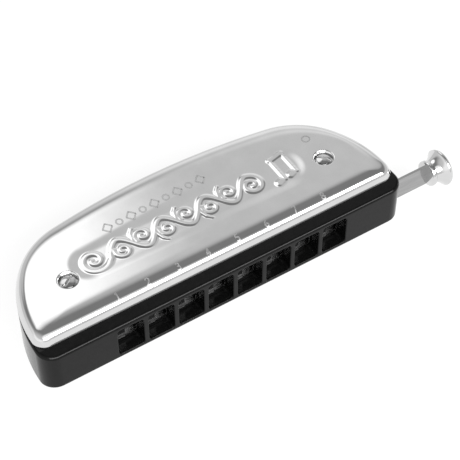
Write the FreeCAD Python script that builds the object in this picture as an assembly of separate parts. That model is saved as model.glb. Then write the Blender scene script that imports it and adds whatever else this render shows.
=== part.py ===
"""An eight-hole slide chromatic harmonica, modelled in millimetres, +Z up.

The instrument lies on its lower cover. The origin is the centre of that resting face.
+X points to the slide button, -Y to the player's mouth. Everything is worked out about
the instrument's own middle plane and lifted to its resting height when it is written.
"""
import FreeCAD, Part

import math
import os

V = FreeCAD.Vector

# ---- driving dimensions -------------------------------------------------------------
HOLES = 8
HOLE_PITCH = 9.8
HOLE_W = 8.3
HOLE_H = 10.6
HOLE_CORNER_R = 1.0
HOLE_EDGE_R = 0.3

BODY_W = 120.7
BODY_D = 43.8
BODY_H = 14.66            # between the two cover seats
FACE_H = 13.84            # height of the mouthpiece's front face
SHOULDER_D = 4.1          # how far the covers sit behind the front face
BACK_R = 225.5            # the gentle curve of the back
BACK_TURN = 9.4           # degrees that half of the back turns through
REAR_TURN = 56.0          # degrees reached at the end of the rear corner
FRONT_CORNER_R = 5.0
WALL = 2.2
EDGE_R = 1.0

COVER_RISE = 4.05
COVER_INSET = 0.6
COVER_SHEET = 0.5
COVER_CORNER_R = 3.2
COVER_EDGE_R = 2.6
DISH_R = 2.95
DISH_FLOOR_R = 2.3
DISH_DEPTH = 1.3
WORKS_SHIFT = 0.7         # the holes, comb and screws sit this far towards the button
SCREW_SPREAD = 43.0       # from the middle of the works to each cover screw
SCREW_BACK = 14.8         # cover screws, measured back from the cover's front lip
SCREW_HEAD_R = 2.1
SCREW_HEAD_H = 1.15
SCREW_R = 1.2
SCREW_LEN = 8.0
SLOT_W = 0.6
SLOT_DEPTH = 0.55

PANEL_LEFT = (-34.1, -0.8, 5.3)    # the upper cover's sunk panel: x, y and radius of
PANEL_RIGHT = (29.9, 0.5, 7.7)     # the round at each end
PANEL_DEPTH = 0.35

REEDS = 16
COMB_HALF = 4.5
CHAMBER_W = 3.65
MIDWALL = 1.5
COMB_END = 47.0
COMB_BACK = 14.6
DIVIDER_SETBACK = 1.6     # dividers inside a pair start this far behind the comb's front
PLATE_T = 1.0
PLATE_GAP = 0.8           # the reed plate is this much smaller all round than the comb
REED_T = 0.15
REED_W = 2.1
REED_LONG = 17.5
REED_SHORT = 10.5
SLOT_CLEAR = 0.06
RIVET_R = 0.75
VALVE_T = 0.12
VALVE_W = 2.9
POST_R = 3.0
PLATE_SCREW_R = 0.8

SLIDE_T = 0.8
SLIDE_H = 8.0
SLIDE_BEHIND_LIP = 0.9    # middle of the slide behind the covers' front lip
SLIDE_CLEAR = 0.05
GUIDE_T = 0.6
GUIDE_HALF_H = 5.2
GUIDE_X = (-47.0, 49.5)
SPACER_H = 0.95
WINDOW_W = 4.4
WINDOW_H = 3.3
WINDOW_Z = 2.0
TRAVEL = HOLE_PITCH / 2
SLIDE_LEFT = -45.1
STOP_X = -42.7
STOP_Z = -2.2
STOP_PIN_R = 0.6
BUMPER_R = 1.1
SPRING_WIRE_R = 0.32
SPRING_LEFT = -55.9
SPRING_HALF_H = 2.7
SPRING_BENDS = 6

BUTTON_X = 72.5
BUTTON_LEN = 6.7
COLLAR_R = 4.1
COLLAR_LEN = 1.4
WAIST_R = 3.6
BUTTON_R = 5.85
BUTTON_DOME = 0.5
TANG_H = 4.0
TANG_LEN = 4.4
BUTTON_PIN_R = 0.6

SOUND_SLOTS = 7
SOUND_SLOT_W = 9.0
SOUND_SLOT_H = 3.4
SOUND_SLOT_Z = 4.0
SOUND_SLOT_PITCH = 11.0

# ---- places worked out from them ----------------------------------------------------
FRONT = -BODY_D / 2
BACK = BODY_D / 2
LIP = FRONT + SHOULDER_D
SEAT = BODY_H / 2
CROWN = SEAT + COVER_RISE
SCREW_Y = LIP + SCREW_BACK
SCREW_XS = (WORKS_SHIFT - SCREW_SPREAD, WORKS_SHIFT + SCREW_SPREAD)
SLIDE_Y = LIP + SLIDE_BEHIND_LIP
GUIDE_FRONT = SLIDE_Y - SLIDE_T / 2 - SLIDE_CLEAR - GUIDE_T
GUIDE_BACK = SLIDE_Y + SLIDE_T / 2 + SLIDE_CLEAR + GUIDE_T
REED_PITCH = HOLE_PITCH / 2
PLATE_TOP = COMB_HALF + PLATE_T
PLATE_FRONT = GUIDE_BACK + PLATE_GAP
PLATE_BACK = COMB_BACK - PLATE_GAP
POST_TOP = CROWN - DISH_DEPTH - COVER_SHEET

nodes = {}


def add(name, shapes):
    """Keep a node: one solid, or a list of separate identical-purpose solids."""
    group = shapes if isinstance(shapes, list) else [shapes]
    nodes[name] = group


def box(x, y, z):
    """A block from three (low, high) pairs."""
    corner = V(x[0], y[0], z[0])
    return Part.makeBox(x[1] - x[0], y[1] - y[0], z[1] - z[0], corner)


def disc(radius, length, base, axis=V(0, 0, 1)):
    return Part.makeCylinder(radius, length, base, axis)


def cone(r1, r2, height, base, axis=V(0, 0, 1)):
    return Part.makeCone(r1, r2, height, base, axis)


def flip(shape):
    """The same thing on the lower side of the middle plane."""
    return shape.mirror(V(0, 0, 0), V(0, 0, 1))


def hole_x(index):
    return WORKS_SHIFT + (index - (HOLES - 1) / 2) * HOLE_PITCH


def reed_x(index):
    return WORKS_SHIFT + (index - (REEDS - 1) / 2) * REED_PITCH


# ---- the plan outline ---------------------------------------------------------------
def rear_radii(half_w, depth, back_r, corner_r):
    """Radii of the rear corner and the side, so that the arcs close tangentially."""
    s1, c1 = math.sin(math.radians(BACK_TURN)), math.cos(math.radians(BACK_TURN))
    s2, c2 = math.sin(math.radians(REAR_TURN)), math.cos(math.radians(REAR_TURN))
    across = half_w - back_r * s1
    along = depth - corner_r - back_r * (1 - c1)
    det = (s2 - s1) * c2 - (1 - s2) * (c1 - c2)
    rear = (across * c2 - (1 - s2) * along) / det
    side = ((s2 - s1) * along - (c1 - c2) * across) / det
    return rear, side


def outline(half_w, front, back, back_r, corner_r, z):
    """A wire: flat front, rounded front corners, swelling sides and a bowed back."""
    rear, side = rear_radii(half_w, back - front, back_r, corner_r)
    point = V(0, back, z)
    right = []
    turns = [(back_r, 0, BACK_TURN), (rear, BACK_TURN, REAR_TURN)]
    turns += [(side, REAR_TURN, 90), (corner_r, 90, 180)]
    for radius, start, end in turns:
        a0, a1 = math.radians(start), math.radians(end)
        centre = point - V(math.sin(a0), math.cos(a0), 0) * radius
        middle = (a0 + a1) / 2
        through = centre + V(math.sin(middle), math.cos(middle), 0) * radius
        last = centre + V(math.sin(a1), math.cos(a1), 0) * radius
        right.append((point, through, last))
        point = last
    edges = [Part.Arc(*arc).toShape() for arc in right]
    edges.append(Part.LineSegment(point, mirrored(point)).toShape())
    for start, through, last in reversed(right):
        edges.append(Part.Arc(mirrored(last), mirrored(through), mirrored(start)).toShape())
    return Part.Wire(edges)


def mirrored(point):
    return V(-point.x, point.y, point.z)


def body_prism(inset, z0, z1):
    wire = outline(BODY_W / 2 - inset, FRONT + inset, BACK - inset,
                   BACK_R - inset, FRONT_CORNER_R - inset, z0)
    return Part.Face(wire).extrude(V(0, 0, z1 - z0))


def cover_prism(inset, z0, z1, edge_r):
    """The cover's plan as a block whose upper edge is rounded."""
    wire = outline(BODY_W / 2 - COVER_INSET - inset, LIP + inset, BACK - COVER_INSET - inset,
                   BACK_R - COVER_INSET - inset, COVER_CORNER_R - inset, z0)
    block = Part.Face(wire).extrude(V(0, 0, z1 - z0))
    top = [edge for edge in block.Edges if edge.BoundBox.ZMin > z1 - 0.01]
    return block.makeFillet(edge_r, top)


# ---- body shell ---------------------------------------------------------------------
def rounded_window(x, z, width, height, radius, y0, y1):
    """A rounded rectangle in the front plane, pushed back along Y."""
    block = box((x - width / 2, x + width / 2), (y0, y1), (z - height / 2, z + height / 2))
    along = [edge for edge in block.Edges if abs(edge.BoundBox.YLength - (y1 - y0)) < 0.01]
    return block.makeFillet(radius, along)


def shoulder_cut():
    """What the sloping shoulder takes off the body's upper front edge."""
    drop = SEAT - FACE_H / 2
    out = SHOULDER_D * 1.5
    steep = drop / SHOULDER_D
    points = [V(-BODY_W, LIP, SEAT), V(-BODY_W, LIP - out, SEAT - out * steep),
              V(-BODY_W, LIP - out, SEAT + 1), V(-BODY_W, LIP, SEAT + 1)]
    return Part.Face(Part.makePolygon(points + points[:1])).extrude(V(2 * BODY_W, 0, 0))


def soften_front(shell):
    """Round the edges where the front face and its corners meet the two shoulders."""
    chosen = []
    for edge in shell.Edges:
        bb = edge.BoundBox
        on_shoulder = abs(bb.Center.z) > FACE_H / 2 - 0.02 and bb.YMax < LIP + 0.01
        if on_shoulder and bb.XLength > FRONT_CORNER_R / 2 and bb.YMin < LIP - SHOULDER_D / 2:
            chosen.append(edge)
    return shell.makeFillet(EDGE_R, chosen)


def soften_holes(shell):
    """Round the mouth holes' edges where they meet the front face."""
    chosen = []
    for edge in shell.Edges:
        bb = edge.BoundBox
        at_face = abs(bb.YMin - FRONT) < 0.001 and abs(bb.YMax - FRONT) < 0.001
        if at_face and bb.XLength < HOLE_W + 0.1 and bb.ZLength < HOLE_H + 0.1:
            if abs(bb.Center.z) < HOLE_H / 2 + 0.05 and abs(bb.Center.x) < BODY_W / 2 - FRONT_CORNER_R:
                chosen.append(edge)
    return shell.makeFillet(HOLE_EDGE_R, chosen)


def make_body_shell():
    shell = body_prism(0, -SEAT, SEAT)
    shell = shell.cut(shoulder_cut()).cut(flip(shoulder_cut()))
    shell = soften_front(shell)
    room = body_prism(WALL, -SEAT - 1, SEAT + 1)
    room = room.common(box((-BODY_W, BODY_W), (GUIDE_BACK, BACK), (-SEAT - 1, SEAT + 1)))
    shell = shell.cut(room)
    shell = shell.cut(box(GUIDE_X, (GUIDE_FRONT, GUIDE_BACK + 0.1), (-GUIDE_HALF_H, GUIDE_HALF_H)))
    for index in range(HOLES):
        shell = shell.cut(rounded_window(hole_x(index), 0, HOLE_W, HOLE_H, HOLE_CORNER_R,
                                         FRONT - 1, GUIDE_FRONT + 0.1))
    shell = soften_holes(shell)
    shell = shell.cut(slide_passage(GUIDE_X[1] - 1, BODY_W))
    shell = shell.cut(slide_passage(SPRING_LEFT - 0.6, GUIDE_X[0] + 1))
    for index in range(SOUND_SLOTS):
        x = (index - (SOUND_SLOTS - 1) / 2) * SOUND_SLOT_PITCH
        for z in (-SOUND_SLOT_Z, SOUND_SLOT_Z):
            shell = shell.cut(rounded_window(x, z, SOUND_SLOT_W, SOUND_SLOT_H, 1.2, BACK - 5, BACK + 1))
    return shell


def slide_passage(x0, x1):
    """The narrow slot that lets the slide and its spring run through the body."""
    half = SLIDE_T / 2 + 0.3
    return box((x0, x1), (SLIDE_Y - half, SLIDE_Y + half), (-SLIDE_H / 2 - 0.3, SLIDE_H / 2 + 0.3))


# ---- covers and their screws --------------------------------------------------------
def panel_block(inset, z0, z1):
    """A lozenge that widens to the right between two round ends, as tall as asked."""
    left, right = V(*PANEL_LEFT[:2], z0), V(*PANEL_RIGHT[:2], z0)
    r_left, r_right = PANEL_LEFT[2] - inset, PANEL_RIGHT[2] - inset
    along = right - left
    heading = math.atan2(along.y, along.x)
    flare = math.acos((r_left - r_right) / along.Length)
    corners = []
    for centre, radius, side in ((left, r_left, 1), (right, r_right, 1),
                                 (right, r_right, -1), (left, r_left, -1)):
        angle = heading + side * flare
        corners.append(centre + V(math.cos(angle), math.sin(angle), 0) * radius)
    block = Part.Face(Part.makePolygon(corners + corners[:1])).extrude(V(0, 0, z1 - z0))
    for centre, radius in ((left, r_left), (right, r_right)):
        block = block.fuse(disc(radius, z1 - z0, centre))
    return block


def make_cover(with_panel):
    outer = cover_prism(0, SEAT, CROWN, COVER_EDGE_R)
    inner = cover_prism(COVER_SHEET, SEAT - 1, CROWN - COVER_SHEET, COVER_EDGE_R - COVER_SHEET)
    if with_panel:
        outer = outer.cut(panel_block(0, CROWN - PANEL_DEPTH, CROWN + 1))
        under = CROWN - PANEL_DEPTH - COVER_SHEET
        inner = inner.cut(panel_block(-COVER_SHEET, under, CROWN + 1))
    for x in SCREW_XS:
        floor = CROWN - DISH_DEPTH
        outer = outer.cut(cone(DISH_FLOOR_R, DISH_R, DISH_DEPTH, V(x, SCREW_Y, floor)))
        under = cone(DISH_FLOOR_R + COVER_SHEET, DISH_R + COVER_SHEET, DISH_DEPTH,
                     V(x, SCREW_Y, floor - COVER_SHEET))
        inner = inner.cut(under)
    cover = outer.cut(inner)
    for x in SCREW_XS:
        cover = cover.cut(disc(SCREW_R + 0.15, 6, V(x, SCREW_Y, CROWN - 5)))
    return cover


def make_cover_screw(x, turn):
    """A slotted screw with a low domed head."""
    floor = CROWN - DISH_DEPTH
    head = disc(SCREW_HEAD_R, SCREW_HEAD_H, V(x, SCREW_Y, floor))
    rim = [edge for edge in head.Edges if edge.BoundBox.ZMin > floor + SCREW_HEAD_H - 0.01]
    head = head.makeFillet(0.55, rim)
    shank = disc(SCREW_R, SCREW_LEN, V(x, SCREW_Y, floor - SCREW_LEN))
    slot = box((x - 4, x + 4), (SCREW_Y - SLOT_W / 2, SCREW_Y + SLOT_W / 2),
               (floor + SCREW_HEAD_H - SLOT_DEPTH, floor + 3))
    slot.rotate(V(x, SCREW_Y, 0), V(0, 0, 1), turn)
    return head.fuse(shank).cut(slot).removeSplitter()


# ---- comb ---------------------------------------------------------------------------
def chamber_cuts():
    """One open-topped air chamber for each reed, joined in pairs at the front."""
    cuts = []
    for index in range(REEDS):
        x = reed_x(index)
        cuts.append(box((x - CHAMBER_W / 2, x + CHAMBER_W / 2),
                        (GUIDE_BACK - 1, PLATE_BACK - 2.2), (MIDWALL / 2, COMB_HALF + 1)))
    for index in range(HOLES):
        x = hole_x(index)
        half = REED_PITCH / 2 + CHAMBER_W / 2
        cuts.append(box((x - half, x + half), (GUIDE_BACK - 1, GUIDE_BACK + DIVIDER_SETBACK),
                        (MIDWALL / 2, COMB_HALF + 1)))
    return cuts


def make_comb():
    base = body_prism(WALL + 0.2, -COMB_HALF, COMB_HALF)
    ends = (WORKS_SHIFT - COMB_END, WORKS_SHIFT + COMB_END)
    base = base.common(box(ends, (GUIDE_BACK, COMB_BACK), (-20, 20)))
    for x in SCREW_XS:
        post = disc(POST_R, 2 * POST_TOP, V(x, SCREW_Y, -POST_TOP))
        base = base.fuse(post).cut(disc(SCREW_R + 0.02, 40, V(x, SCREW_Y, -20)))
    for cut in chamber_cuts():
        base = base.cut(cut).cut(flip(cut))
    for x, y in plate_screw_places():
        base = base.cut(disc(PLATE_SCREW_R + 0.02, 40, V(x, y, -20)))
    return base


# ---- reed plates --------------------------------------------------------------------
def plate_screw_places():
    ends = [(x, y) for x in SCREW_XS for y in (-11.5, 7.0)]
    return ends + [(WORKS_SHIFT, PLATE_BACK - 1.1)]


def reed_length(index):
    return REED_LONG + (REED_SHORT - REED_LONG) * index / (REEDS - 1)


def reed_span(index):
    """Free end and fixed end of a reed along Y: blow and draw reeds face each other."""
    length = reed_length(index)
    if index % 2 == 0:
        fixed = PLATE_BACK - 5.0
        return fixed - length, fixed
    fixed = PLATE_FRONT + 4.0
    return fixed + length, fixed


def make_reed_plate():
    plate = body_prism(WALL + 0.2 + PLATE_GAP, COMB_HALF, PLATE_TOP)
    half = COMB_END - PLATE_GAP
    plate = plate.common(box((WORKS_SHIFT - half, WORKS_SHIFT + half),
                             (PLATE_FRONT, PLATE_BACK), (-20, 20)))
    for index in range(REEDS):
        free, fixed = reed_span(index)
        toward = 1 if free > fixed else -1
        end = free + toward * SLOT_CLEAR
        half = REED_W / 2 + SLOT_CLEAR
        x = reed_x(index)
        plate = plate.cut(box((x - half, x + half), (min(fixed, end), max(fixed, end)), (0, 20)))
        plate = plate.cut(disc(RIVET_R, 9, V(x, fixed - toward * 1.3, 0)))
    for x in SCREW_XS:
        plate = plate.cut(disc(POST_R + 0.15, 9, V(x, SCREW_Y, 0)))
    for x, y in plate_screw_places():
        plate = plate.cut(disc(PLATE_SCREW_R + 0.05, 9, V(x, y, 0)))
    return plate


def make_reed(index):
    """A flat tongue: blow reeds lie under the plate, draw reeds on top of it."""
    free, fixed = reed_span(index)
    toward = 1 if free > fixed else -1
    heel = fixed - toward * 2.6
    z = COMB_HALF - REED_T if index % 2 == 0 else PLATE_TOP
    x = reed_x(index)
    tongue = box((x - REED_W / 2, x + REED_W / 2), (min(free, heel), max(free, heel)), (z, z + REED_T))
    return tongue.cut(disc(RIVET_R, 20, V(x, fixed - toward * 1.3, 0)))


def make_rivet(index):
    free, fixed = reed_span(index)
    toward = 1 if free > fixed else -1
    at = V(reed_x(index), fixed - toward * 1.3, COMB_HALF - REED_T if index % 2 == 0 else COMB_HALF)
    shaft = disc(RIVET_R, PLATE_T + REED_T, at)
    if index % 2 == 0:
        head = disc(RIVET_R + 0.3, 0.3, at - V(0, 0, 0.3))
    else:
        head = disc(RIVET_R + 0.3, 0.3, at + V(0, 0, PLATE_T + REED_T))
    return shaft.fuse(head).removeSplitter()


def make_valve(index):
    """A thin strip over the other side of a reed's slot, glued at its heel."""
    free, fixed = reed_span(index)
    toward = 1 if free > fixed else -1
    over = free + toward * 0.5
    heel = fixed - toward * 0.3
    z = PLATE_TOP if index % 2 == 0 else COMB_HALF - VALVE_T
    x = reed_x(index)
    return box((x - VALVE_W / 2, x + VALVE_W / 2), (min(over, heel), max(over, heel)), (z, z + VALVE_T))


def make_plate_screw(x, y):
    head = disc(1.4, 0.7, V(x, y, PLATE_TOP))
    shank = disc(PLATE_SCREW_R, 4.0, V(x, y, PLATE_TOP - 4.0))
    slot = box((x - 2, x + 2), (y - 0.18, y + 0.18), (PLATE_TOP + 0.4, PLATE_TOP + 2))
    return head.fuse(shank).cut(slot).removeSplitter()


# ---- slide, its guides, stop and spring ---------------------------------------------
def make_slide():
    """A thin strip whose windows stand high and low by turns, with a tang at its end."""
    y = (SLIDE_Y - SLIDE_T / 2, SLIDE_Y + SLIDE_T / 2)
    strip = box((SLIDE_LEFT, BUTTON_X), y, (-SLIDE_H / 2, SLIDE_H / 2))
    strip = strip.fuse(box((BUTTON_X - 1, BUTTON_X + TANG_LEN), y, (-TANG_H / 2, TANG_H / 2)))
    for index in range(HOLES):
        left = hole_x(index) - REED_PITCH / 2
        strip = strip.cut(window(left, WINDOW_Z, y)).cut(window(left + REED_PITCH, -WINDOW_Z, y))
    reach = BUMPER_R + SLIDE_CLEAR
    stop = box((STOP_X - reach, STOP_X + reach + TRAVEL), (y[0] - 1, y[1] + 1),
               (STOP_Z - reach, STOP_Z + reach))
    strip = strip.cut(stop)
    pin_hole = disc(BUTTON_PIN_R, 20, V(BUTTON_X + TANG_LEN / 2, SLIDE_Y - 10, 0), V(0, 1, 0))
    return strip.cut(pin_hole).removeSplitter()


def window(x, z, y):
    return box((x - WINDOW_W / 2, x + WINDOW_W / 2), (y[0] - 1, y[1] + 1),
               (z - WINDOW_H / 2, z + WINDOW_H / 2))


def make_guide(y0, full_width):
    """One of the two plates that the slide runs between."""
    y = (y0, y0 + GUIDE_T)
    plate = box((GUIDE_X[0] + 0.1, GUIDE_X[1] - 0.1), y, (-GUIDE_HALF_H + 0.1, GUIDE_HALF_H - 0.1))
    for index in range(HOLES):
        x = hole_x(index)
        if full_width:
            half = HOLE_W / 2 - 0.4
            opening = box((x - half, x + half), (y0 - 1, y0 + 2), (-HOLE_W / 2 + 0.2, HOLE_W / 2 - 0.2))
            plate = plate.cut(opening)
        else:
            left = x - REED_PITCH / 2
            plate = plate.cut(window(left, WINDOW_Z, y)).cut(window(left, -WINDOW_Z, y))
    return plate.cut(disc(STOP_PIN_R, 9, V(STOP_X, y0 - 4, STOP_Z), V(0, 1, 0)))


def make_spacer():
    half_t = SLIDE_T / 2 + SLIDE_CLEAR
    low = SLIDE_H / 2 + SLIDE_CLEAR
    return box((GUIDE_X[0] + 0.1, GUIDE_X[1] - 0.1), (SLIDE_Y - half_t, SLIDE_Y + half_t),
               (low, low + SPACER_H))


def make_slide_spring():
    """A flat zigzag of spring wire between the body and the slide's left end."""
    right = SLIDE_LEFT - SPRING_WIRE_R - 0.02
    step = (right - SPRING_LEFT) / SPRING_BENDS
    bend = step / 2
    reach = SPRING_HALF_H - bend
    edges = []
    for index in range(SPRING_BENDS + 1):
        x = SPRING_LEFT + index * step
        side = 1 if index % 2 == 0 else -1
        edges.append(Part.LineSegment(V(x, SLIDE_Y, -side * reach), V(x, SLIDE_Y, side * reach)).toShape())
        if index < SPRING_BENDS:
            top = V(x + bend, SLIDE_Y, side * (reach + bend))
            end = V(x + step, SLIDE_Y, side * reach)
            edges.append(Part.Arc(V(x, SLIDE_Y, side * reach), top, end).toShape())
    section = Part.Wire(Part.makeCircle(SPRING_WIRE_R, V(SPRING_LEFT, SLIDE_Y, -reach)))
    return Part.Wire(edges).makePipeShell([section], True, False)


# ---- button -------------------------------------------------------------------------
def make_button():
    """A turned button: collar, waist and a flare to a slightly domed end."""
    end = BUTTON_X + BUTTON_LEN
    flare = BUTTON_X + COLLAR_LEN + 0.4
    points = [V(BUTTON_X, 0, 0), V(BUTTON_X, COLLAR_R, 0), V(BUTTON_X + COLLAR_LEN, COLLAR_R, 0),
              V(BUTTON_X + COLLAR_LEN, WAIST_R, 0), V(flare, WAIST_R, 0)]
    edges = [Part.LineSegment(a, b).toShape() for a, b in zip(points, points[1:])]
    lip = V(end - 1.7, BUTTON_R, 0)
    edges.append(Part.Arc(points[-1], V(flare + 1.9, WAIST_R + 0.6, 0), lip).toShape())
    rim = BUTTON_R - 0.9
    face = V(end - BUTTON_DOME, rim, 0)
    edges.append(Part.Arc(lip, V(end - 0.75, BUTTON_R - 0.2, 0), face).toShape())
    dome_r = (rim ** 2 + BUTTON_DOME ** 2) / (2 * BUTTON_DOME)
    half_way = end - dome_r + math.sqrt(dome_r ** 2 - rim ** 2 / 4)
    edges.append(Part.Arc(face, V(half_way, rim / 2, 0), V(end, 0, 0)).toShape())
    edges.append(Part.LineSegment(V(end, 0, 0), points[0]).toShape())
    turned = Part.Face(Part.Wire(edges)).revolve(V(0, 0, 0), V(1, 0, 0), 360)
    turned.translate(V(0, SLIDE_Y, 0))
    mouth = box((BUTTON_X - 1, BUTTON_X + TANG_LEN + 0.05),
                (SLIDE_Y - SLIDE_T / 2 - 0.02, SLIDE_Y + SLIDE_T / 2 + 0.02),
                (-TANG_H / 2 - 0.02, TANG_H / 2 + 0.02))
    pin_hole = disc(BUTTON_PIN_R, 20, V(BUTTON_X + TANG_LEN / 2, SLIDE_Y - 10, 0), V(0, 1, 0))
    return turned.cut(mouth).cut(pin_hole)


def make_button_pin():
    half = WAIST_R - 0.15
    return disc(BUTTON_PIN_R, 2 * half, V(BUTTON_X + TANG_LEN / 2, SLIDE_Y - half, 0), V(0, 1, 0))


def make_stop_pin():
    length = GUIDE_BACK - GUIDE_FRONT
    return disc(STOP_PIN_R, length, V(STOP_X, GUIDE_FRONT, STOP_Z), V(0, 1, 0))


def make_bumper():
    half_t = SLIDE_T / 2 + SLIDE_CLEAR
    tube = disc(BUMPER_R, 2 * half_t, V(STOP_X, SLIDE_Y - half_t, STOP_Z), V(0, 1, 0))
    return tube.cut(disc(STOP_PIN_R, 9, V(STOP_X, SLIDE_Y - 4, STOP_Z), V(0, 1, 0)))


# ---- put it together ----------------------------------------------------------------
def build_case():
    add("body_shell", make_body_shell())
    add("comb", make_comb())
    add("top_cover", make_cover(True))
    add("bottom_cover", flip(make_cover(False)))
    left, right = make_cover_screw(SCREW_XS[0], 34), make_cover_screw(SCREW_XS[1], -56)
    add("top_cover_screws", [left, right])
    add("bottom_cover_screws", [flip(left), flip(right)])


def build_reed_side(side, place):
    """All the pieces of one reed plate; place puts them above or below."""
    add(side + "_reed_plate", place(make_reed_plate()))
    add(side + "_blow_reeds", [place(make_reed(i)) for i in range(0, REEDS, 2)])
    add(side + "_draw_reeds", [place(make_reed(i)) for i in range(1, REEDS, 2)])
    add(side + "_reed_rivets", [place(make_rivet(i)) for i in range(REEDS)])
    add(side + "_outer_valves", [place(make_valve(i)) for i in range(0, REEDS, 2)])
    add(side + "_inner_valves", [place(make_valve(i)) for i in range(1, REEDS, 2)])
    add(side + "_plate_screws", [place(make_plate_screw(x, y)) for x, y in plate_screw_places()])


def build_slide():
    add("slide", make_slide())
    add("slide_front_plate", make_guide(GUIDE_FRONT, True))
    add("slide_rear_plate", make_guide(GUIDE_BACK - GUIDE_T, False))
    add("slide_spacers", [make_spacer(), flip(make_spacer())])
    add("slide_spring", make_slide_spring())
    add("slide_stop_pin", make_stop_pin())
    add("slide_bumper", make_bumper())
    add("slide_button", make_button())
    add("button_pin", make_button_pin())


def write_parts():
    os.makedirs("parts", exist_ok=True)
    for name, solids in nodes.items():
        placed = []
        for shape in solids:
            lifted = shape.copy()
            lifted.translate(V(0, 0, CROWN))
            placed.extend(lifted.Solids)
        whole = placed[0] if len(placed) == 1 else Part.makeCompound(placed)
        whole.exportStep("parts/" + name + ".step")
        print(name, len(placed), "valid" if whole.isValid() else "INVALID", round(whole.Volume, 1))


build_case()
build_reed_side("upper", lambda shape: shape)
build_reed_side("lower", flip)
build_slide()
write_parts()
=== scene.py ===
"""Looks of an eight-hole slide harmonica: fine covers, relief, button, materials, light and camera."""
import math

import bpy
import numpy as np
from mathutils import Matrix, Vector
from mathutils.geometry import delaunay_2d_cdt


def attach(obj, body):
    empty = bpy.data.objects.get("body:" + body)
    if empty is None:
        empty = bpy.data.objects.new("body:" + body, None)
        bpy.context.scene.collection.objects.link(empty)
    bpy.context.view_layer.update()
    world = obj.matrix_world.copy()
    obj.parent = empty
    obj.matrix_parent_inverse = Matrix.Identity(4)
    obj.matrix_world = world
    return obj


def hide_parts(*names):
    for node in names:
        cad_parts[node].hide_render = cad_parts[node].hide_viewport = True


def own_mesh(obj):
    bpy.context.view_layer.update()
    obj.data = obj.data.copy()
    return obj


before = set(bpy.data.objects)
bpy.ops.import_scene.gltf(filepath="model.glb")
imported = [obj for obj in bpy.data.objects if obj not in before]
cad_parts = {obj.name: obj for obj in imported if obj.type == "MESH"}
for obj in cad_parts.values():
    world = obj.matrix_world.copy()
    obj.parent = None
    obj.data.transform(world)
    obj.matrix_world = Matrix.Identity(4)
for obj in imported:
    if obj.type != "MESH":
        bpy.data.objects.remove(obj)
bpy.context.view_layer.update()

# ---- sizes of the case, in millimetres ----------------------------------------------
MM = 0.001
MID = 11.38               # height of the plane that the case mirrors about
SEAT = 18.71              # the shell's upper face, where the cover sits
CROWN = 22.74             # top of the upper cover, a hair under the solid's
HALF_W = 59.75            # half the cover's length
FRONT, BACK = -17.8, 21.3
BACK_R = 224.9
BACK_TURN, REAR_TURN = 9.4, 56.0
CORNER_R = 3.9
SHEET = 0.5

LIP_LEAN = 19.0           # degrees that the lip leans in from upright
ROUND_R = 2.9             # the rounding between the lip and the top
ROUND_END = 20.0          # tilt in degrees where the rounding meets the soft crown
CROWN_W = 5.0             # how far in the soft crown reaches
CROWN_EASE = 2.6          # how gently the crown levels out
CORNER_TIGHTEN = 0.35     # how fast the corners tighten on the rounding
CORNER_SOFTEN = 0.8       # how fast the corners open up inside the rounding
FOOT_ROWS = 4             # rows of the profile below the lip's outer face
ROUND_ROWS = 16           # rows over the rounding
CROWN_ROWS = 16           # rows over the soft crown
LEVEL_EDGE = 0.5          # a last level step inside the crown

SCREWS = ((-42.3, -3.0), (43.7, -3.0))
SCREW_TURNS = (34, -56)   # how far each slot is turned, in degrees
DISH_FLOOR_R, DISH_R, DISH_DEPTH = 2.3, 3.2, 1.3
HEAD_R, HEAD_H, HEAD_DOME = 2.1, 1.15, 0.4
SLOT_HALF, SLOT_DEPTH = 0.3, 0.55
PANEL = ((-34.1, -0.8, 5.3), (29.9, 0.5, 7.7))    # x, y and radius of its left and right end
PANEL_DEPTH = 0.25
PANEL_SLOPE = (1.4, -2.9)  # its wall's top and foot, measured out from the panel's edge
RELIEF_H = 0.24
STROKE_BLEND = 0.28       # how far the relief's flanks reach past a stroke

SCROLL_PITCH, SCROLL_CELLS = 7.3, 6
SCROLL_X, SCROLL_Y = -24.0, -0.9                  # the first curl
SCROLL_RISE = 0.02        # the scroll climbs this much per millimetre to the right
SCROLL_WAVE = 3.3
NOTES = ((29.4, -3.9), (34.0, -2.9))              # the foot of each note's stem
STEM_L = 8.3

HOLES, HOLE_PITCH, HOLE_MID = 8, 9.8, 0.7
DIGIT_W, DIGIT_H, DIGIT_Y = 1.5, 2.1, -16.0
DIGIT_LINE = 0.2          # half the width of a number's line
DIGIT_LIFT = 0.015        # how far the numbers stand clear of the cover
MARKS, MARK_PITCH = 9, 4.0
MARK_X, MARK_Y, MARK_RISE = -23.8, 7.6, 0.055
MARK_LINE, MARK_LIFT = 0.27, 0.012
LONE_RING = (43.5, 6.2, 1.2)                      # x, y and radius of the ring by the right screw
LONE_RING_LINE = 0.22

SLIDE_Y = -16.9
BUTTON_X = 72.5           # the button's inner face
HUB_R, COLLAR_R, NECK_R = 3.75, 4.1, 3.6
FLARE_X, FLARE_L, FLARE_RISE = 74.3, 3.2, 2.25
FACE_X, FACE_R, FACE_DOME = 79.2, 4.95, 0.5
RIM_W, RIM_H = 1.2, 0.9
BUTTON_SIDES = 72

# ---- camera, in metres and degrees --------------------------------------------------
LENS, SENSOR = 117.39, 36.0
LOOK_AROUND, LOOK_DOWN = 32.6, 49.45
LOOK_AT, LOOK_FROM = (0.01353, 0.00134, 0.00446), 0.4498    # the point, and how far from it


# ---- small helpers ------------------------------------------------------------------
def smooth(low, high, value):
    """0 below low, 1 above high, eased between them."""
    t = np.clip((np.asarray(value, float) - low) / (high - low), 0, 1)
    return t * t * (3 - 2 * t)


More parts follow.
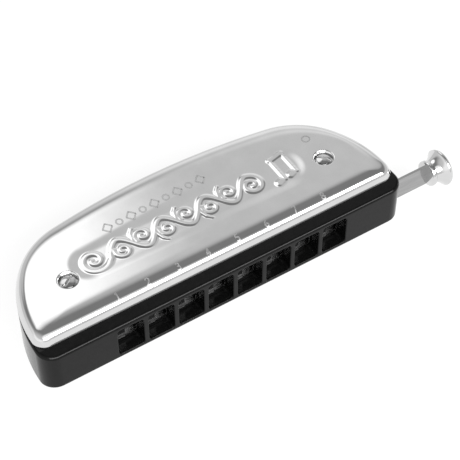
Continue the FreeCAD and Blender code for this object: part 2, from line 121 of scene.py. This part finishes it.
def piece(name, points, faces, material, body="instrument", stands_for=(), soft=True):
    """A mesh in millimetres that rides on a body and takes a material slot."""
    mesh = bpy.data.meshes.new(name)
    mesh.from_pydata([tuple(c * MM for c in p) for p in points], [], [tuple(f) for f in faces])
    mesh.validate()
    mesh.update()
    mesh.materials.append(material)
    for face in mesh.polygons:
        face.use_smooth = soft
    thing = bpy.data.objects.new(name, mesh)
    bpy.context.scene.collection.objects.link(thing)
    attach(thing, body)
    if stands_for:
        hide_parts(*stands_for)
    return thing


def band(lower, upper):
    """Quads between two closed rows of vertex numbers."""
    count = len(lower)
    return [(lower[i], lower[(i + 1) % count], upper[(i + 1) % count], upper[i]) for i in range(count)]


# ---- plan of the cover --------------------------------------------------------------
def rear_radii(half_w, depth, back_r, corner_r):
    """Radii of the rear corner and the side, so that the arcs close tangentially."""
    s1, c1 = math.sin(math.radians(BACK_TURN)), math.cos(math.radians(BACK_TURN))
    s2, c2 = math.sin(math.radians(REAR_TURN)), math.cos(math.radians(REAR_TURN))
    across = half_w - back_r * s1
    along = depth - corner_r - back_r * (1 - c1)
    det = (s2 - s1) * c2 - (1 - s2) * (c1 - c2)
    rear = (across * c2 - (1 - s2) * along) / det
    side = ((s2 - s1) * along - (c1 - c2) * across) / det
    return rear, side


def plan(inset, corner_r):
    """The cover's outline, moved in by inset, as a closed clockwise row of points."""
    half_w, front, back = HALF_W - inset, FRONT + inset, BACK - inset
    rear, side = rear_radii(half_w, back - front, BACK_R - inset, corner_r)
    at = np.array((0.0, back))
    right = [at]
    turns = ((BACK_R - inset, 0, BACK_TURN, 20), (rear, BACK_TURN, REAR_TURN, 26))
    turns += ((side, REAR_TURN, 90, 20), (corner_r, 90, 180, 16))
    for radius, start, end, steps in turns:
        a0 = math.radians(start)
        centre = at - radius * np.array((math.sin(a0), math.cos(a0)))
        for k in range(1, steps + 1):
            a = a0 + math.radians(end - start) * k / steps
            right.append(centre + radius * np.array((math.sin(a), math.cos(a))))
        at = right[-1]
    span = np.linspace(at[0], -at[0], 61)[1:-1]
    straight = [np.array((x, front)) for x in span]
    left = [np.array((-p[0], p[1])) for p in reversed(right[1:])]
    return right + straight + left


def crown_profile():
    """(inset, height) from the cover's lower edge up to where the top is level."""
    end, start = math.radians(ROUND_END), math.radians(90 - LIP_LEAN)
    rise = math.tan(end) * CROWN_W / CROWN_EASE
    centre = CROWN - rise - ROUND_R * math.cos(end)
    foot = centre + ROUND_R * math.cos(start)
    lean = (foot - SEAT) * math.tan(math.radians(LIP_LEAN))
    rows = [(SHEET, SEAT + 1.0), (SHEET, SEAT), (0.1, SEAT), (0.02, SEAT + 0.04), (0.0, SEAT + 0.12)]
    for share in (0.1, 0.4, 0.7):
        rows.append((lean * share, SEAT + 0.12 + (foot - SEAT - 0.12) * share))
    for k in range(ROUND_ROWS):
        a = start - (start - end) * k / (ROUND_ROWS - 1)
        rows.append((lean + ROUND_R * (math.sin(start) - math.sin(a)), centre + ROUND_R * math.cos(a)))
    inset, height = rows[-1]
    for k in range(1, CROWN_ROWS + 1):
        t = k / CROWN_ROWS
        rows.append((inset + CROWN_W * t, height + rise * (1 - (1 - t) ** CROWN_EASE)))
    rows.append((inset + CROWN_W + LEVEL_EDGE, CROWN))
    return rows


PROFILE = crown_profile()
ROUND_W = PROFILE[-CROWN_ROWS - 2][0]    # inset of the last row of the rounding


def corner_at(inset):
    """Corner radius of the outline at an inset: it tightens on the rounding and opens up inside it."""
    if inset <= ROUND_W:
        return CORNER_R - CORNER_TIGHTEN * inset
    return CORNER_R - CORNER_TIGHTEN * ROUND_W + CORNER_SOFTEN * (inset - ROUND_W)


# ---- relief of the upper cover ------------------------------------------------------
def panel_distance(x, y):
    """Distance from the edge of the tapered panel, negative inside it."""
    (x0, y0, r0), (x1, y1, r1) = PANEL
    along = np.array((x1 - x0, y1 - y0))
    length = np.hypot(*along)
    along = along / length
    px = (x - x0) * along[0] + (y - y0) * along[1]
    py = np.abs((y - y0) * along[0] - (x - x0) * along[1])
    slope = (r0 - r1) / length
    level = math.sqrt(1 - slope * slope)
    k = py * -slope + px * level
    left = np.hypot(px, py) - r0
    right = np.hypot(px - length, py) - r1
    middle = px * slope + py * level - r0
    return np.where(k < 0, left, np.where(k > level * length, right, middle))


def volute(centre, radii, turn, widths, steps=70):
    """A spiral stroke as rows of x, y and half width; turn is in degrees."""
    t = np.linspace(0, 1, steps)
    radius = radii[0] + (radii[1] - radii[0]) * t ** 0.85
    angle = np.radians(turn[0] + (turn[1] - turn[0]) * t)
    width = widths[0] + (widths[1] - widths[0]) * t
    return np.stack((centre[0] + radius * np.cos(angle), centre[1] + radius * np.sin(angle), width), 1)


def stroke(points, widths):
    """A straight or bent stroke through a few points."""
    points = np.array(points, float)
    rows = []
    for k in range(len(points) - 1):
        for t in np.linspace(0, 1, 14):
            place = points[k] + (points[k + 1] - points[k]) * t
            share = (k + t) / (len(points) - 1)
            rows.append((place[0], place[1], widths[0] + (widths[1] - widths[0]) * share))
    return np.array(rows)


def scroll_middle(x):
    """The scroll's gently climbing middle line."""
    return SCROLL_Y + SCROLL_RISE * (x - SCROLL_X)


def scroll_strokes():
    """A running scroll: a waving stem, a curl in each bend, leaves between, a large curl at both ends."""
    end = SCROLL_X + SCROLL_CELLS * SCROLL_PITCH
    x = np.linspace(SCROLL_X - SCROLL_PITCH / 2, end, 280)
    phase = np.pi * (x - SCROLL_X) / SCROLL_PITCH
    wave = SCROLL_WAVE * np.sin(phase + np.pi / 2)
    width = 0.78 + 0.24 * np.abs(np.cos(phase))
    strokes = [np.stack((x, scroll_middle(x) + wave, width), 1)]
    for cell in range(SCROLL_CELLS):
        side = 1 if cell % 2 == 0 else -1
        curl_x = SCROLL_X + SCROLL_PITCH * cell
        centre = (curl_x, scroll_middle(curl_x) - 0.9 * side)
        strokes.append(volute(centre, (2.75, 0.6), (150 * side, 590 * side), (0.78, 0.6)))
        if cell == SCROLL_CELLS - 1:
            break
        leaf_x = curl_x + SCROLL_PITCH / 2
        leaf_y = scroll_middle(leaf_x)
        strokes.append(stroke([(leaf_x, leaf_y), (leaf_x + 0.9, leaf_y + 3.2 * side),
                               (leaf_x + 2.0, leaf_y + 4.6 * side)], (0.75, 0.3)))
    strokes.append(volute((-32.9, -0.8), (4.5, 0.8), (-40, -560), (1.05, 0.7), 150))
    strokes.append(stroke([(-29.5, -3.7), (-28.3, -2.6), (-27.65, -0.9)], (1.0, 0.8)))
    strokes.append(volute((end, -0.6), (3.88, 0.8), (90, -430), (1.0, 0.65), 150))
    return strokes


def note_strokes():
    """Two notes joined by a beam."""
    strokes = []
    for x, y in NOTES:
        strokes.append(stroke([(x - 2.3, y - 0.4), (x - 1.2, y)], (1.45, 1.45)))
        strokes.append(stroke([(x, y), (x, y + STEM_L)], (0.6, 0.6)))
    ends = [(x, y + STEM_L + 0.2) for x, y in NOTES]
    strokes.append(stroke(ends, (0.95, 0.95)))
    return strokes


def relief(x, y):
    """Height of the raised strokes, from 0 to 1."""
    top = np.zeros_like(x)
    for row in np.concatenate(scroll_strokes() + note_strokes()):
        near = np.abs(x - row[0]) < 2.5
        reach = np.hypot(x[near] - row[0], y[near] - row[1]) / (row[2] + STROKE_BLEND)
        top[near] = np.maximum(top[near], 1 - reach)
    return smooth(0.0, 0.72, top)


def pressed(x, y, with_panel):
    """How far the cover's top lies below its crown at level places."""
    x, y = np.asarray(x, float), np.asarray(y, float)
    depth = np.zeros_like(x)
    if with_panel:
        inside = 1 - smooth(PANEL_SLOPE[1], PANEL_SLOPE[0], panel_distance(x, y))
        depth += PANEL_DEPTH * inside - RELIEF_H * relief(x, y) * np.minimum(1, 1.25 * inside)
        depth = np.maximum(depth, 0)
    for cx, cy in SCREWS:
        r = np.hypot(x - cx, y - cy)
        depth = np.maximum(depth, DISH_DEPTH * (1 - smooth(DISH_FLOOR_R - 0.1, DISH_R, r)))
    return depth


def top_points(with_panel):
    """Where the level part of the cover needs vertices: fine where it is pressed."""
    points = []
    if with_panel:
        gx, gy = np.meshgrid(np.arange(-41.5, 40, 0.26), np.arange(-9.5, 10.2, 0.26))
        keep = panel_distance(gx, gy) < 1.6
        points += list(zip(gx[keep], gy[keep]))
    for cx, cy in SCREWS:
        for r in np.arange(0.4, 4.7, 0.17):
            for k in range(56):
                a = 2 * math.pi * k / 56
                points.append((cx + r * math.cos(a), cy + r * math.sin(a)))
    return points


def cover_mesh(with_panel):
    """Vertices in millimetres and faces of the upper cover."""
    vertices, faces, rows = [], [], []
    for inset, height in PROFILE:
        ring = plan(inset, corner_at(inset))
        rows.append(list(range(len(vertices), len(vertices) + len(ring))))
        vertices += [(p[0], p[1], height) for p in ring]
    for lower, upper in zip(rows, rows[1:]):
        faces += [face[::-1] for face in band(lower, upper)]
    rim = plan(PROFILE[-1][0], corner_at(PROFILE[-1][0]))
    flat = [Vector(p) for p in rim] + [Vector(p) for p in top_points(with_panel)]
    out = delaunay_2d_cdt(flat, [], [list(range(len(rim)))], 1, 1e-6)
    xy = np.array([tuple(p) for p in out[0]])
    depth = pressed(xy[:, 0], xy[:, 1], with_panel)
    numbers = []
    for k in range(len(xy)):
        source = [n for n in out[3][k] if n < len(rim)]
        if source:
            numbers.append(rows[-1][source[0]])
            continue
        numbers.append(len(vertices))
        vertices.append((xy[k, 0], xy[k, 1], CROWN - depth[k]))
    for face in out[2]:
        corners = [numbers[n] for n in face]
        a, b, c = (np.array(vertices[n][:2]) for n in corners[:3])
        turn = (b[0] - a[0]) * (c[1] - a[1]) - (b[1] - a[1]) * (c[0] - a[0])
        faces.append(corners if turn > 0 else corners[::-1])
    return vertices, faces


def add_covers(chrome):
    """The figured upper cover and the plain lower one."""
    points, faces = cover_mesh(True)
    piece("upper_cover_pressing", points, faces, chrome, stands_for=["top_cover"])
    points, faces = cover_mesh(False)
    under = [(x, y, 2 * MID - z) for x, y, z in points]
    piece("lower_cover_pressing", under, [f[::-1] for f in faces], chrome,
          stands_for=["bottom_cover"])


# ---- engraved figures and marks -----------------------------------------------------
def front_height(y):
    """Height of the cover along its straight front, at a place y."""
    insets = [row[0] for row in PROFILE[FOOT_ROWS:]]
    heights = [row[1] for row in PROFILE[FOOT_ROWS:]]
    return np.interp(y - FRONT, insets, heights)


# Each number as one bent line in a unit square, from which the loop below draws it.
DIGITS = {
    1: [(0.25, 0.78), (0.55, 1.0), (0.55, 0.0)],
    2: [(0.12, 0.76), (0.28, 0.96), (0.62, 0.98), (0.82, 0.76), (0.7, 0.5), (0.1, 0.0), (0.86, 0.0)],
    3: [(0.14, 0.88), (0.4, 1.0), (0.74, 0.88), (0.72, 0.62), (0.42, 0.53), (0.78, 0.42),
        (0.8, 0.14), (0.42, 0.0), (0.1, 0.14)],
    4: [(0.66, 0.0), (0.66, 1.0), (0.08, 0.3), (0.9, 0.3)],
    5: [(0.78, 1.0), (0.24, 1.0), (0.18, 0.56), (0.5, 0.62), (0.82, 0.42), (0.72, 0.1),
        (0.4, 0.0), (0.1, 0.12)],
    6: [(0.7, 0.98), (0.3, 0.7), (0.14, 0.3), (0.34, 0.02), (0.68, 0.04), (0.84, 0.32),
        (0.62, 0.56), (0.3, 0.5), (0.15, 0.32)],
    7: [(0.1, 1.0), (0.86, 1.0), (0.4, 0.0)],
    8: [(0.5, 0.53), (0.2, 0.7), (0.28, 0.94), (0.5, 1.0), (0.72, 0.94), (0.8, 0.7), (0.5, 0.53),
        (0.14, 0.36), (0.16, 0.1), (0.5, 0.0), (0.84, 0.1), (0.86, 0.36), (0.5, 0.53)],
}


def resample(path, step):
    """The same bent line with a point every step."""
    path = np.array(path, float)
    rows = [path[0]]
    for a, b in zip(path, path[1:]):
        count = max(1, int(np.ceil(np.hypot(*(b - a)) / step)))
        rows += [a + (b - a) * k / count for k in range(1, count + 1)]
    return np.array(rows)


def ribbon(path, half, height, lift, vertices, faces):
    """Adds a narrow strip along a line, laid on a surface given by height(x, y)."""
    path = resample(path, 0.12)
    ahead = np.gradient(path, axis=0)
    ahead /= np.maximum(np.hypot(ahead[:, 0], ahead[:, 1]), 1e-9)[:, None]
    side = np.stack((-ahead[:, 1], ahead[:, 0]), 1) * half
    start = len(vertices)
    for p, s in zip(path, side):
        for q in (p - s, p, p + s):
            vertices.append((q[0], q[1], float(height(q[0], q[1])) + lift))
    for k in range(len(path) - 1):
        a = start + 3 * k
        faces.append((a, a + 3, a + 4, a + 1))
        faces.append((a + 1, a + 4, a + 5, a + 2))


def add_digits(etched):
    """The hole numbers, one over each mouth hole."""
    vertices, faces = [], []
    for index in range(HOLES):
        x = HOLE_MID + (index - (HOLES - 1) / 2) * HOLE_PITCH - DIGIT_W / 2
        line = [(x + u * DIGIT_W, DIGIT_Y + v * DIGIT_H) for u, v in DIGITS[index + 1]]
        ribbon(line, DIGIT_LINE, lambda px, py: front_height(py), DIGIT_LIFT, vertices, faces)
    piece("hole_numbers", vertices, faces, etched)


def ring_path(x, y, rx, ry, sides):
    """A closed line with so many sides around a place."""
    angles = np.linspace(0, 2 * np.pi, sides + 1)
    return [(x + rx * math.cos(a), y + ry * math.sin(a)) for a in angles]


def top_height(x, y):
    """Height of the plain cover's level part, dishes included."""
    return CROWN - float(pressed(np.array([x]), np.array([y]), False)[0])


def add_etched_row(etched):
    """A faint row of lozenges and rings above the panel, and one ring by the right screw."""
    vertices, faces = [], []
    lozenge, ring = (1.55, 1.75, 4), (0.95, 1.05, 24)
    for index in range(MARKS):
        x = MARK_X + MARK_PITCH * index
        y = MARK_Y + MARK_RISE * (x - MARK_X)
        shape = lozenge if index % 2 == 0 else ring
        ribbon(ring_path(x, y, *shape), MARK_LINE, top_height, MARK_LIFT, vertices, faces)
    x, y, radius = LONE_RING
    ribbon(ring_path(x, y, radius, radius, 24), LONE_RING_LINE, top_height, MARK_LIFT, vertices, faces)
    piece("etched_marks", vertices, faces, etched)


# ---- screws, button, spring ---------------------------------------------------------
def screw_head(x, y, turn, vertices, faces):
    """A low domed head with a slot, standing on the floor of its dish."""
    floor = CROWN - DISH_DEPTH
    half = [SLOT_HALF - 0.01, SLOT_HALF + 0.01, 0.5, 0.8, 1.2, 1.6, 1.9, HEAD_R - 0.05, HEAD_R]
    across = [-u for u in reversed(half)] + half
    steps, start = 24, len(vertices)
    ca, sa = math.cos(math.radians(turn)), math.sin(math.radians(turn))
    for u in across:
        reach = math.sqrt(max(HEAD_R ** 2 - u * u, 0.0004))
        for k in range(steps + 1):
            v = reach * math.sin(math.pi * (k / steps - 0.5))
            z = floor + HEAD_H - HEAD_DOME * (u * u + v * v) / HEAD_R ** 2
            if abs(u) < SLOT_HALF:
                z = floor + HEAD_H - SLOT_DEPTH
            vertices.append((x - u * sa + v * ca, y + u * ca + v * sa, z))
    wide = steps + 1
    for j in range(len(across) - 1):
        for k in range(steps):
            a = start + j * wide + k
            faces.append((a, a + 1, a + wide + 1, a + wide)[::-1])
    skirt, sides = len(vertices), 48
    for k in range(sides):
        a = 2 * math.pi * k / sides
        for z in (floor + HEAD_H - HEAD_DOME - 0.02, floor - 0.02):
            vertices.append((x + HEAD_R * math.cos(a), y + HEAD_R * math.sin(a), z))
    for k in range(sides):
        a, b = skirt + 2 * k, skirt + 2 * ((k + 1) % sides)
        faces.append((a, a + 1, b + 1, b))


def add_screws(steel):
    """Both screws of the upper cover, and their mirror image below."""
    vertices, faces = [], []
    for (x, y), turn in zip(SCREWS, SCREW_TURNS):
        screw_head(x, y, turn, vertices, faces)
    piece("upper_screws", vertices, faces, steel, stands_for=["top_cover_screws"])
    under = [(x, y, 2 * MID - z) for x, y, z in vertices]
    piece("lower_screws", under, [f[::-1] for f in faces], steel,
          stands_for=["bottom_cover_screws"])


def button_profile():
    """(x, radius) along the turned button, from its inner face to the middle of its end."""
    collar = ((0.0, 0.0), (0.0, HUB_R), (0.1, 3.98), (0.35, COLLAR_R), (1.05, COLLAR_R), (1.3, 3.98),
              (1.4, 3.8), (1.46, 3.62), (1.75, NECK_R))
    rows = [(BUTTON_X + along, radius) for along, radius in collar]
    for k in range(1, 13):
        t = k / 12
        rows.append((FLARE_X + FLARE_L * t, NECK_R + FLARE_RISE * (0.35 * t + 0.65 * t ** 2.2)))
    for k in range(1, 9):
        a = math.pi / 2 * k / 8
        rows.append((FLARE_X + FLARE_L + RIM_W * math.sin(a), FACE_R + RIM_H * math.cos(a)))
    for k in range(1, 10):
        radius = FACE_R * (1 - k / 9)
        rows.append((FACE_X - FACE_DOME * (radius / FACE_R) ** 2, radius))
    return rows


def add_button(chrome):
    """The button, turned about the slide's line."""
    vertices, faces, rows = [], [], []
    for x, r in button_profile():
        if r == 0.0:
            rows.append([len(vertices)] * BUTTON_SIDES)
            vertices.append((x, SLIDE_Y, MID))
            continue
        rows.append(list(range(len(vertices), len(vertices) + BUTTON_SIDES)))
        for k in range(BUTTON_SIDES):
            a = 2 * math.pi * k / BUTTON_SIDES
            vertices.append((x, SLIDE_Y + r * math.cos(a), MID + r * math.sin(a)))
    for lower, upper in zip(rows, rows[1:]):
        for face in band(lower, upper):
            short = tuple(dict.fromkeys(face))
            faces.append(short[::-1])
    piece("turned_button", vertices, faces, chrome, body="slide_assembly",
          stands_for=["slide_button"])


def add_spring(steel):
    """A copy of the spring in screw steel. The real spring closes up as the slide is pressed; this copy
    keeps its shape.
    """
    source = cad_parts["slide_spring"]
    spring = bpy.data.objects.new("zigzag_spring", source.data.copy())
    bpy.context.scene.collection.objects.link(spring)
    spring.data.materials.clear()
    spring.data.materials.append(steel)
    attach(spring, "instrument")
    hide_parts("slide_spring")
    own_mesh(spring)


# ---- materials ----------------------------------------------------------------------
def finish(name, dark, light, rough, grain, bump, metal=0.0, stretch=(1, 1, 1), level=0.5):
    """A surface whose colour and gloss wander a little, over a fine grain.

    dark and light are greys or colours, rough a pair, grain the size of a patch in
    millimetres, bump the height of the fine grain in millimetres. stretch draws the
    patches out along an axis where it is under 1. level is the dielectric shine.
    """
    made = bpy.data.materials.new(name)
    made.use_nodes = True
    nodes, links = made.node_tree.nodes, made.node_tree.links
    shader = nodes["Principled BSDF"]
    shader.inputs["Metallic"].default_value = metal
    shader.inputs["Specular IOR Level"].default_value = level
    place = nodes.new("ShaderNodeTexCoord")
    mapping = nodes.new("ShaderNodeMapping")
    mapping.inputs["Scale"].default_value = stretch
    links.new(place.outputs["Object"], mapping.inputs["Vector"])
    patches = nodes.new("ShaderNodeTexNoise")
    patches.inputs["Scale"].default_value = 1 / (grain * MM)
    patches.inputs["Detail"].default_value = 5
    links.new(mapping.outputs["Vector"], patches.inputs["Vector"])
    colours = nodes.new("ShaderNodeValToRGB")
    colours.color_ramp.elements[0].position = 0.3
    colours.color_ramp.elements[1].position = 0.7
    colours.color_ramp.elements[0].color = shade(dark)
    colours.color_ramp.elements[1].color = shade(light)
    links.new(patches.outputs["Fac"], colours.inputs["Fac"])
    links.new(colours.outputs["Color"], shader.inputs["Base Color"])
    gloss = nodes.new("ShaderNodeMapRange")
    gloss.inputs["From Min"].default_value = 0.3
    gloss.inputs["From Max"].default_value = 0.7
    gloss.inputs["To Min"].default_value = rough[0]
    gloss.inputs["To Max"].default_value = rough[1]
    links.new(patches.outputs["Fac"], gloss.inputs["Value"])
    links.new(gloss.outputs["Result"], shader.inputs["Roughness"])
    fine = nodes.new("ShaderNodeTexNoise")
    fine.inputs["Scale"].default_value = 8 / (grain * MM)
    fine.inputs["Detail"].default_value = 3
    links.new(mapping.outputs["Vector"], fine.inputs["Vector"])
    raised = nodes.new("ShaderNodeBump")
    raised.inputs["Strength"].default_value = 0.6
    raised.inputs["Distance"].default_value = bump * MM
    links.new(fine.outputs["Fac"], raised.inputs["Height"])
    links.new(raised.outputs["Normal"], shader.inputs["Normal"])
    return made


def shade(value):
    """A grey or an RGB triple as an opaque colour."""
    if isinstance(value, (int, float)):
        value = (value, value, value)
    return (*value, 1.0)


def make_finishes():
    """Every finish by a short name."""
    brass, brass_light = (0.55, 0.38, 0.13), (0.68, 0.49, 0.19)
    return {
        "chrome": finish("cover_chrome", 0.64, 0.68, (0.055, 0.085), 6, 0.0006, metal=1.0),
        "etched": finish("etched_chrome", 0.52, 0.6, (0.34, 0.46), 0.6, 0.0008, metal=1.0),
        "frosted": finish("frosted_chrome", 0.42, 0.48, (0.2, 0.3), 0.6, 0.0008, metal=1.0),
        "plastic": finish("black_moulded_plastic", 0.002, 0.0035, (0.12, 0.17), 1.2, 0.001, level=0.15),
        "comb": finish("comb_plastic", 0.006, 0.010, (0.38, 0.5), 1.0, 0.004),
        "slide": finish("slide_steel", 0.32, 0.40, (0.1, 0.17), 1.2, 0.001, metal=1.0,
                        stretch=(0.12, 1, 1)),
        # guide: the near-black colour is painted shade. It stands for the shadow inside the mouth holes
        # where these plates show, not the steel's own grey
        "guide": finish("guide_steel", 0.04, 0.08, (0.22, 0.34), 1.5, 0.001, metal=1.0,
                        stretch=(0.2, 1, 1)),
        "screw": finish("screw_steel", 0.5, 0.58, (0.07, 0.13), 0.8, 0.0015, metal=1.0),
        "plate": finish("plate_brass", brass, brass_light, (0.2, 0.34), 2.5, 0.003, metal=1.0),
        "reed": finish("reed_brass", (0.6, 0.43, 0.17), (0.74, 0.55, 0.24), (0.16, 0.26), 1.0, 0.002,
                       metal=1.0, stretch=(1, 0.2, 1)),
        "valve": finish("valve_film", (0.62, 0.58, 0.48), (0.72, 0.68, 0.58), (0.42, 0.55), 1.5, 0.004),
        "rubber": finish("bumper_rubber", 0.02, 0.035, (0.6, 0.75), 0.5, 0.01),
    }


# What a node's name ends with, and its finish. The first match counts, so "slide" comes last.
NODE_FINISH = (
    ("body_shell", "plastic"), ("comb", "comb"), ("cover_screws", "screw"), ("reed_plate", "plate"),
    ("reeds", "reed"), ("rivets", "plate"), ("valves", "valve"), ("plate_screws", "plate"),
    # the front plate, rear plate and spacers take the near-black guide finish, painted shade for the
    # insides of the holes
    ("front_plate", "guide"), ("rear_plate", "guide"), ("spacers", "guide"), ("stop_pin", "screw"),
    ("bumper", "rubber"), ("button_pin", "screw"), ("slide", "slide"),
)


def paint_nodes(finishes):
    """Gives the parts of the frame that stay in view their finish, by what their names end with."""
    for name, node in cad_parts.items():
        for ending, kind in NODE_FINISH:
            if name.endswith(ending):
                node.data.materials.clear()
                node.data.materials.append(finishes[kind])
                break


# ---- studio -------------------------------------------------------------------------
def add_floor():
    """A pale table that glows a little, so that only a faint shadow shows on it."""
    made = finish("pale_floor", 0.12, 0.13, (0.6, 0.7), 40, 0.01, level=0.0)
    glow = made.node_tree.nodes["Principled BSDF"]
    glow.inputs["Emission Color"].default_value = (1, 1, 1, 1)
    glow.inputs["Emission Strength"].default_value = 0.87
    half, count = 3.0, 12    # metres to each side, squares across
    line = np.linspace(-half, half, count + 1)
    points = [(x, y, 0.0) for y in line for x in line]
    wide = count + 1
    faces = [(j * wide + i, j * wide + i + 1, (j + 1) * wide + i + 1, (j + 1) * wide + i)
             for j in range(count) for i in range(count)]
    mesh = bpy.data.meshes.new("floor")
    mesh.from_pydata(points, [], faces)
    mesh.materials.append(made)
    floor = bpy.data.objects.new("floor", mesh)
    bpy.context.scene.collection.objects.link(floor)


def add_panel_light(name, centre, facing, across, along, radiance):
    """A soft box of a size in metres that looks along facing, as bright as radiance says."""
    data = bpy.data.lights.new(name, "AREA")
    data.shape = "RECTANGLE"
    data.size, data.size_y = across, along
    data.energy = radiance * math.pi * across * along
    lamp = bpy.data.objects.new(name, data)
    lamp.location = centre
    lamp.rotation_euler = Vector(facing).to_track_quat("-Z", "Y").to_euler()
    bpy.context.scene.collection.objects.link(lamp)


def add_soft_room(base, patches):
    """An even room with a few soft bright patches, for the chrome to mirror.

    A patch is its direction, the angles in degrees at which it starts and ends
    fading, and its brightness.
    """
    world = bpy.data.worlds.new("studio_room")
    bpy.context.scene.world = world
    world.use_nodes = True
    nodes, links = world.node_tree.nodes, world.node_tree.links
    back = nodes["Background"]
    back.inputs["Color"].default_value = (1, 1, 1, 1)
    place = nodes.new("ShaderNodeTexCoord")
    total = None
    for direction, inner, outer, brightness in patches:
        facing = nodes.new("ShaderNodeVectorMath")
        facing.operation = "DOT_PRODUCT"
        facing.inputs[1].default_value = Vector(direction).normalized()
        links.new(place.outputs["Generated"], facing.inputs[0])
        spread = nodes.new("ShaderNodeMapRange")
        spread.interpolation_type = "SMOOTHSTEP"
        spread.inputs["From Min"].default_value = math.cos(math.radians(outer))
        spread.inputs["From Max"].default_value = math.cos(math.radians(inner))
        spread.inputs["To Min"].default_value = 0.0
        spread.inputs["To Max"].default_value = brightness
        links.new(facing.outputs["Value"], spread.inputs["Value"])
        added = nodes.new("ShaderNodeMath")
        added.operation = "ADD"
        added.inputs[1].default_value = base
        if total is not None:
            links.new(total, added.inputs[1])
        links.new(spread.outputs["Result"], added.inputs[0])
        total = added.outputs["Value"]
    links.new(total, back.inputs["Strength"])


def add_light():
    """The room's patches, and one strip lamp over the front for the white line on the lip."""
    add_soft_room(0.27, (
        ((0.44, 0.50, 0.745), 5, 24, 0.47),       # high at the rear right
        ((-0.02, 0.66, 0.75), 12, 21.5, 1.35),    # high behind, the brightest
        ((0.55, 0.74, 0.38), 10, 24, 0.34),       # low at the rear right
        ((-0.1, -0.66, 0.74), 20, 38, 0.95),      # high in front, around the strip
        ((0, 0, -1), 108, 126, 0.5),              # everything from a little above level down
        ((-0.85, -0.15, 0.3), 15, 60, 0.5),       # wide on the left
    ))
    away = 1.55                                   # metres, and the strip's size grows with it
    add_panel_light("front_strip", (0.05, -0.77 * away, 0.64 * away), (0, 0.77, -0.64), 1.43 * away,
                    0.44 * away, 10)


def add_camera():
    """A camera above the front left corner, looking down at the cover."""
    data = bpy.data.cameras.new("camera")
    data.lens, data.sensor_width = LENS, SENSOR
    data.clip_start, data.clip_end = 0.01, 20
    camera = bpy.data.objects.new("camera", data)
    around, down = math.radians(LOOK_AROUND), math.radians(LOOK_DOWN)
    level = math.cos(down)
    look = Vector((math.sin(around) * level, math.cos(around) * level, -math.sin(down)))
    camera.location = Vector(LOOK_AT) - LOOK_FROM * look
    camera.rotation_euler = look.to_track_quat("-Z", "Y").to_euler()
    bpy.context.scene.collection.objects.link(camera)
    bpy.context.scene.camera = camera


# ---- put it together ----------------------------------------------------------------
bpy.context.scene.view_settings.view_transform = "Standard"
finishes = make_finishes()
paint_nodes(finishes)
add_covers(finishes["chrome"])
add_digits(finishes["etched"])
add_etched_row(finishes["frosted"])
add_screws(finishes["screw"])
add_button(finishes["chrome"])
add_spring(finishes["screw"])
add_floor()
add_light()
add_camera()
